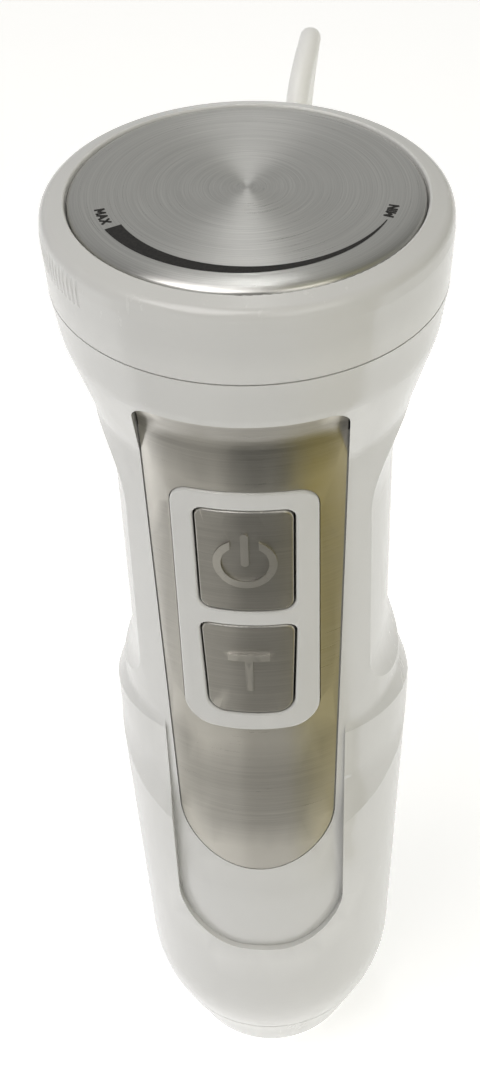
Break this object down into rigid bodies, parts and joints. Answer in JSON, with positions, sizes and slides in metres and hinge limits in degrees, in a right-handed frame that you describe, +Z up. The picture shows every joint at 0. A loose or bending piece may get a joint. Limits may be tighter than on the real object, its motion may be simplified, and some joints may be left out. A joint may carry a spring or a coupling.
{
  "type": "immersion blender motor unit",
  "caption": "Corded stick blender motor unit: flared turning speed head, steel control panel with power and turbo buttons, waisted handle and leg socket.",
  "frame": {"origin": "centre of the leg socket's bottom rim, on the surface that the handle stands on", "axes": "+Z up along the motor and handle axis, buttons and panel face -Y, cord leaves at +Y"},
  "size_m": [0.068, 0.2918, 0.2195],
  "materials": {
    "white_gloss": "gloss white ABS",
    "brushed_steel": "grain across the handle",
    "spun_steel": "circular brushed grain",
    "button_steel": "grain across, raised signs",
    "white_inner": "matte white",
    "friction_felt": "felt",
    "dark_plastic": "matte black",
    "plunger_red": "matte red",
    "zinc_steel": "bright zinc",
    "circuit_board": "green solder mask",
    "triac_black": "matte black",
    "heat_sink_aluminium": "satin",
    "polished_steel": "ground steel",
    "bracket_alloy": "die cast",
    "mount_rubber": "matte black rubber",
    "core_laminations": "stacked sheet steel",
    "enamelled_copper": "enamelled copper wire",
    "commutator_copper": "turned copper",
    "fan_plastic": "matte",
    "brush_carbon": "carbon",
    "coupling_plastic": "nylon",
    "wire_insulation": "blue wire insulation",
    "relief_rubber": "white soft vinyl",
    "cord_jacket": "white vinyl",
    "tie_plastic": "coated wire tie",
    "plug_plastic": "white moulded vinyl",
    "pin_brass": "nickel plated brass"
  },
  "bodies": {
    "housing": {"brush_holders": "dark_plastic", "brush_springs": "zinc_steel", "button_bezel": "white_gloss", "carbon_brushes": "brush_carbon", "carrier_screws": "zinc_steel", "control_board": "circuit_board", "cord": "cord_jacket", "cord_hank": "cord_jacket", "cord_tail": "cord_jacket", "field_coils": "enamelled_copper", "friction_ring": "friction_felt", "hank_tie": "tie_plastic", "head_plate": "white_inner", "head_screws": "zinc_steel", "heat_sink": "heat_sink_aluminium", "lead_wires": "wire_insulation", "leg_socket": "white_gloss", "lower_bearing": "polished_steel", "lower_bracket": "bracket_alloy", "lower_mount": "mount_rubber", "main_housing": "white_gloss", "motor_screws": "zinc_steel", "plug_body": "plug_plastic", "plug_pins": "pin_brass", "potentiometer": "dark_plastic", "potentiometer_nut": "zinc_steel", "power_button_spring": "zinc_steel", "power_switch": "dark_plastic", "shaft_seal": "mount_rubber", "speed_triac": "triac_black", "stator_core": "core_laminations", "strain_relief": "relief_rubber", "suppression_capacitor": "dark_plastic", "switch_carrier": "white_inner", "terminal_block": "white_inner", "trim_panel": "brushed_steel", "turbo_button_spring": "zinc_steel", "turbo_switch": "dark_plastic", "upper_bearing": "polished_steel", "upper_bracket": "bracket_alloy", "upper_mount": "mount_rubber"},
    "speed_dial": {"dial_ring": "white_gloss", "dial_disc": "spun_steel", "control_shaft": "polished_steel"},
    "power_key": {"power_button": "button_steel", "power_switch_plunger": "plunger_red"},
    "turbo_key": {"turbo_button": "button_steel", "turbo_switch_plunger": "plunger_red"},
    "rotor": {"motor_shaft": "polished_steel", "rotor_core": "core_laminations", "rotor_windings": "enamelled_copper", "commutator": "commutator_copper", "cooling_fan": "fan_plastic", "drive_coupling": "coupling_plastic"}
  },
  "joints": [
    {"name": "dial_turn", "type": "hinge", "parent": "housing", "child": "speed_dial", "pos_m": [0, 0, 0.2], "axis": [0, 0, 1], "range_deg": [-70, 60]},
    {"name": "power_press", "type": "slide", "parent": "housing", "child": "power_key", "axis": [0, 1, 0], "range_m": [0, 0.0015], "stiffness_N_per_m": 600, "springref_m": -0.0015, "deforming": ["power_button_spring"]},
    {"name": "turbo_press", "type": "slide", "parent": "housing", "child": "turbo_key", "axis": [0, 1, 0], "range_m": [0, 0.0015], "stiffness_N_per_m": 600, "springref_m": -0.0015, "deforming": ["turbo_button_spring"]},
    {"name": "motor_spin", "type": "hinge", "parent": "housing", "child": "rotor", "pos_m": [0, 0, 0.06], "axis": [0, 0, 1], "continuous": true}
  ]
}
